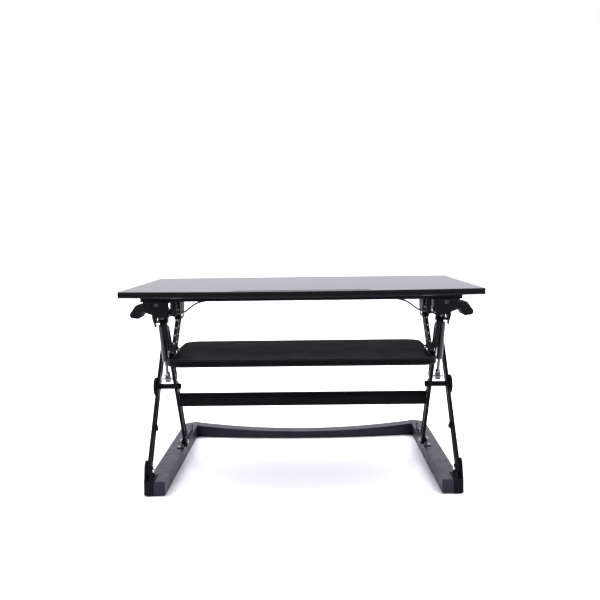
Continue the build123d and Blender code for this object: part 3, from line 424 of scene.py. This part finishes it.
make_bolts(
    "middle_bolts_detail", "middle_pivot_bolts", "black_powder_coat", "inner_frame",
    head(inner_near, inner_near - 8.4 * MM, 7.9 * MM, 3.0 * MM, "knurl")[::-1]
    + shank(inner_near, cap_near, PIVOT_RADIUS)
    + head(cap_near, cap_far, 8.9 * MM, 4.2 * MM))
make_bolts(
    "front_bolts_detail", "front_pivot_bolts", "bright_steel", "desktop",
    head(inner_near - 0.2 * MM, inner_near - 3 * MM, 7.9 * MM, 3.2 * MM)[::-1]
    + shank(inner_near - 0.2 * MM, nut_near, PIVOT_RADIUS)
    + shank(nut_near, nut_far - 0.4 * MM, NUT_FLATS, "hex")
    + [(nut_far, NUT_FLATS - 0.6 * MM, "round")]
    + shank(nut_far, nut_far - 1.2 * MM, 4.6 * MM))
make_bolts(
    "foot_pins_detail", "foot_pins", "bright_steel", "base",
    head(cheek_near, cheek_near - 4.1 * MM, 5.9 * MM)[::-1]
    + shank(cheek_near, cheek_far, PIN_RADIUS)
    + head(cheek_far, foot_far, 6.4 * MM, 3.0 * MM))
make_bolts(
    "spring_pins_detail", "spring_pins", "bright_steel", "inner_frame",
    head(inner_near, inner_near - 1.5 * MM, 5.9 * MM)[::-1]
    + shank(inner_near, fork_far, PIN_RADIUS)
    + shank(fork_far + 0.3 * MM, fork_far + 1.3 * MM, GROOVE_RADIUS)
    + shank(fork_far + 1.6 * MM, lower_near, PIN_RADIUS)
    + head(lower_near, lower_far, 5.9 * MM))

EYE_RADIUS = 8.5 * MM


def spring_axis(label):
    """Foot of a gas spring on its lower pin, and its direction up to the eye."""
    rod_low, rod_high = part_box("spring_rod_" + label)
    body_low, body_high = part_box("spring_cylinder_" + label)
    pin_low, pin_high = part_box("spring_pins")
    x = (rod_low.x + rod_high.x) / 2
    foot = Vector((x, (pin_low.y + pin_high.y) / 2, (pin_low.z + pin_high.z) / 2))
    eye = Vector((x, body_low.y + EYE_RADIUS, body_high.z - EYE_RADIUS))
    return foot, (eye - foot).normalized()


def make_spring_fittings(label):
    """Grooved gland cap at the foot of the cylinder, and the rod's lock nut against the fork."""
    foot, along = spring_axis(label)
    gland = bmesh.new()
    add_turned(gland, foot, along, in_mm(
        (59.4, 4.1), (59.4, 7.0), (60.2, 8.0), (63.0, 8.15), (63.4, 7.7),
        (64.4, 7.7), (64.8, 8.15), (66.0, 8.15), (66.3, 7.9), (66.3, 4.1)))
    finish_piece("gland_cap_" + label, gland, "spring_paint", "spring_cylinder_" + label, DARK_STEEL)
    nut = bmesh.new()
    add_turned(nut, foot, along,
               in_mm((17.0, 4.0), (17.0, 5.6))
               + shank(17.3 * MM, 20.4 * MM, 5.9 * MM, "hex")
               + in_mm((20.8, 5.6), (20.8, 4.0)))
    finish_piece("lock_nut_" + label, nut, "zinc_steel", "inner_frame")


RIB_COUNT = 5
RIB_RADIUS = 0.9 * MM
RIB_END_RADIUS = 0.3 * MM
RIB_INSET = 5 * MM
BLADE_FOOT = 22.4 * MM      # from the blade's tip in to the foot of its inner slope
BLADE_RUN = 8 * MM          # how far the slope runs inwards ...
BLADE_RISE = 14.5 * MM      # ... and upwards


def make_grip_ribs(label, side):
    """Ribs along the inner slope of a paddle's blade."""
    low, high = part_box("paddle_" + label)
    tip = high.x if side > 0 else -low.x
    length = high.y - low.y - 2 * RIB_INSET
    ribs = bmesh.new()
    for row in range(RIB_COUNT):
        share = (row + 1) / (RIB_COUNT + 1)
        x = tip - BLADE_FOOT - BLADE_RUN * share
        z = low.z + BLADE_RISE * share
        add_turned(ribs, (side * x, low.y + RIB_INSET, z), (0, 1, 0),
                   [(0, RIB_END_RADIUS, "round")]
                   + shank(0.6 * MM, length - 0.6 * MM, RIB_RADIUS)
                   + [(length, RIB_END_RADIUS, "round")], 16)
    finish_piece("paddle_ribs_" + label, ribs, "black_plastic", "paddle_" + label)


BEAD_COUNT = 24
BEAD_PITCH = 1.7 * MM
BEAD_START = 47 * MM        # from the back of the rear member


def make_weld_beads():
    """Rows of weld beads where the rear member meets the rails."""
    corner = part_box("rear_member")[1]
    joint_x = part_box("rail_right")[0].x
    beads = bmesh.new()
    for _, side in SIDES:
        for index in range(BEAD_COUNT):
            start = corner.y - BEAD_START + index * BEAD_PITCH
            add_turned(beads, (side * joint_x, start, corner.z - 0.9 * MM), (0, 1, 0),
                       in_mm((0, 0.7), (0.6, 1.25), (1.3, 1.3), (2.0, 0.8)), 12)
    finish_piece("weld_beads", beads, "base_powder_coat", "base")


for label, _ in SIDES:
    make_spring_fittings(label)
for label, side in SIDES:
    make_grip_ribs(label, side)
make_weld_beads()


# ---------------------------------------------------------------- studio
FLOOR_SIZE = 30
FLOOR_DROP = 0.2 * MM
WHITE = (1, 1, 1, 1)
VIOLET_WHITE = (0.94, 0.92, 1.0, 1)
# The surroundings' two glows: axis, where each starts and is full, and its strength.
GLOWS = (("Z", 0.12, 0.7, 2.9), ("Y", -0.2, 0.6, 0.66))
GLOW_FLOOR = 0.01
BACKDROP_STRENGTH = 1.0
# Soft lights: name, place, point they face, size, watts.
LIGHTS = (
    ("overhead_softbox", (0, 0.6, 3.4), (0, 0, 0.2), (4.5, 4.0), 110),
    ("left_fill", (-2.2, -1.0, 1.4), (0, 0, 0.25), (1.2, 1.6), 5),
    ("right_fill", (2.2, -1.0, 1.4), (0, 0, 0.25), (1.2, 1.6), 5),
)
CAMERA_PLACE = (0.0177, -2.2133, 0.6378)
CAMERA_TURN = radians(0.565)
CAMERA_TILT = radians(90 - 1.706)
CAMERA_ROLL = radians(-0.712)
LENS_MM = 48.31
SENSOR_MM = 36.0
SHIFT_Y = -0.0717


def make_floor():
    """Pale floor under the object."""
    bpy.ops.mesh.primitive_plane_add(size=FLOOR_SIZE, location=(0, 0, -FLOOR_DROP))
    floor = bpy.context.object
    floor.name = "floor"
    tree = Tree("floor_look")
    tree.set(Roughness=0.9, Specular_IOR_Level=0.1)
    tree.feed(Base_Color=tree.blend(tree.noise(3, 2), (0.86, 0.86, 0.865), (0.88, 0.88, 0.885)))
    floor.data.materials.append(tree.material)


def make_world():
    """White surroundings, brighter above and behind, dark on the viewer's side, plain to the camera."""
    world = bpy.data.worlds.new("studio")
    bpy.context.scene.world = world
    world.use_nodes = True
    nodes = world.node_tree.nodes
    links = world.node_tree.links
    background = nodes["Background"]
    place = nodes.new("ShaderNodeTexCoord")
    split = nodes.new("ShaderNodeSeparateXYZ")
    links.new(place.outputs["Generated"], split.inputs["Vector"])
    glow = nodes.new("ShaderNodeMath")
    glow.operation = "ADD"
    for socket, (axis, low, high, strength) in zip(glow.inputs, GLOWS):
        ramp = nodes.new("ShaderNodeMapRange")
        ramp.interpolation_type = "SMOOTHSTEP"
        ends = {"From Min": low, "From Max": high, "To Min": GLOW_FLOOR, "To Max": strength}
        for name, number in ends.items():
            ramp.inputs[name].default_value = number
        links.new(split.outputs[axis], ramp.inputs["Value"])
        links.new(ramp.outputs["Result"], socket)
    to_camera = nodes.new("ShaderNodeLightPath").outputs["Is Camera Ray"]
    strength_mix = nodes.new("ShaderNodeMix")
    strength_mix.data_type = "FLOAT"
    first, second = [socket for socket in strength_mix.inputs
                     if socket.name in "AB" and socket.type == "VALUE"]
    second.default_value = BACKDROP_STRENGTH
    links.new(to_camera, strength_mix.inputs["Factor"])
    links.new(glow.outputs["Value"], first)
    links.new(strength_mix.outputs[0], background.inputs["Strength"])
    tint_mix = nodes.new("ShaderNodeMix")
    tint_mix.data_type = "RGBA"
    first, second = [socket for socket in tint_mix.inputs if socket.name in "AB" and socket.type == "RGBA"]
    first.default_value = VIOLET_WHITE
    second.default_value = WHITE
    links.new(to_camera, tint_mix.inputs["Factor"])
    tinted = next(socket for socket in tint_mix.outputs if socket.type == "RGBA")
    links.new(tinted, background.inputs["Color"])


def make_light(name, place, aim, size, power):
    """A soft rectangular light that faces a point."""
    light = bpy.data.lights.new(name, "AREA")
    light.shape = "RECTANGLE"
    light.size, light.size_y = size
    light.energy = power
    lamp = bpy.data.objects.new(name, light)
    bpy.context.scene.collection.objects.link(lamp)
    lamp.location = place
    lamp.rotation_euler = (Vector(aim) - Vector(place)).to_track_quat("-Z", "Y").to_euler()


def make_camera():
    """Normal lens a little above the desktop, a touch right of centre."""
    data = bpy.data.cameras.new("camera")
    data.sensor_width = SENSOR_MM
    data.lens = LENS_MM
    data.shift_y = SHIFT_Y
    camera = bpy.data.objects.new("camera", data)
    bpy.context.scene.collection.objects.link(camera)
    turn = Matrix.Rotation(CAMERA_TURN, 4, "Z") @ Matrix.Rotation(CAMERA_TILT, 4, "X")
    roll = Matrix.Rotation(CAMERA_ROLL, 4, "Z")
    camera.matrix_world = Matrix.Translation(CAMERA_PLACE) @ turn @ roll
    bpy.context.scene.camera = camera


make_floor()
make_world()
for light in LIGHTS:
    make_light(*light)
make_camera()
scene = bpy.context.scene
scene.view_settings.view_transform = "Standard"
scene.view_settings.look = "None"
